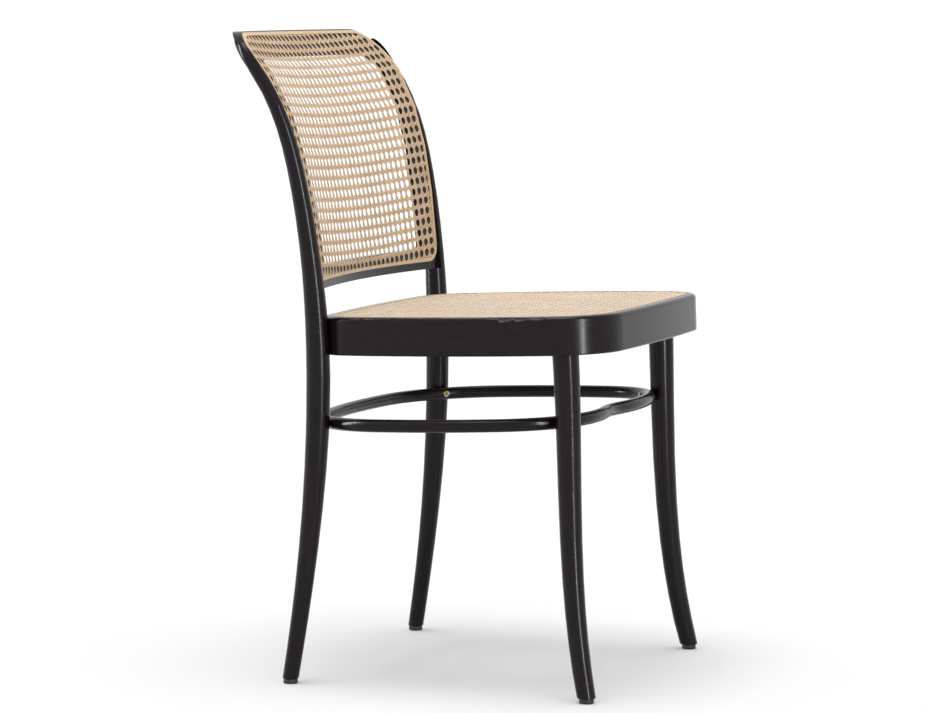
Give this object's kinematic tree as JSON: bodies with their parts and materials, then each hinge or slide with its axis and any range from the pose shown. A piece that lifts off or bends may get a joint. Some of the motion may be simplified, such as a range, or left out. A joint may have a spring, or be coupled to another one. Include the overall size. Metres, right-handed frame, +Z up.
{
  "type": "dining chair",
  "caption": "Bentwood dining chair: one bent hoop forms rear legs and back, with a caned back panel, a caned seat ring, tapering front legs and a round leg ring.",
  "frame": {"origin": "on the floor, under the middle of the chair's footprint box", "axes": "+Z up from the floor; -Y is the chair's front, +Y its back; +X is to the right of someone who faces its front"},
  "size_m": [0.4636, 0.5348, 0.8294],
  "materials": {
    "stained_beech": "black stain under satin lacquer, faint grain",
    "cane": "woven natural cane, satin",
    "reed_spline": "natural reed spline, satin",
    "plain_beech": "unstained beech",
    "zinc_steel": "zinc plated",
    "brassed_screw": "yellow passivated",
    "black_plastic": "moulded, matt"
  },
  "bodies": {
    "root": {"back_hoop": "stained_beech", "back_panel_arch": "stained_beech", "back_bottom_rail": "stained_beech", "back_cane": "cane", "back_spline": "reed_spline", "seat_frame": "stained_beech", "seat_cane": "cane", "seat_spline": "reed_spline", "front_leg_left": "stained_beech", "front_leg_right": "stained_beech", "stretcher_ring": "stained_beech", "coach_screw_left": "zinc_steel", "coach_screw_right": "zinc_steel", "glide_front_left": "black_plastic", "glide_front_right": "black_plastic", "glide_rear_left": "black_plastic", "glide_rear_right": "black_plastic", "rail_dowel_left_lower": "plain_beech", "rail_dowel_left_upper": "plain_beech", "rail_dowel_right_lower": "plain_beech", "rail_dowel_right_upper": "plain_beech", "ring_screw_front_left": "brassed_screw", "ring_screw_front_right": "brassed_screw", "ring_screw_rear_left": "brassed_screw", "ring_screw_rear_right": "brassed_screw", "tenon_wedge_left": "plain_beech", "tenon_wedge_right": "plain_beech"}
  },
  "joints": []
}
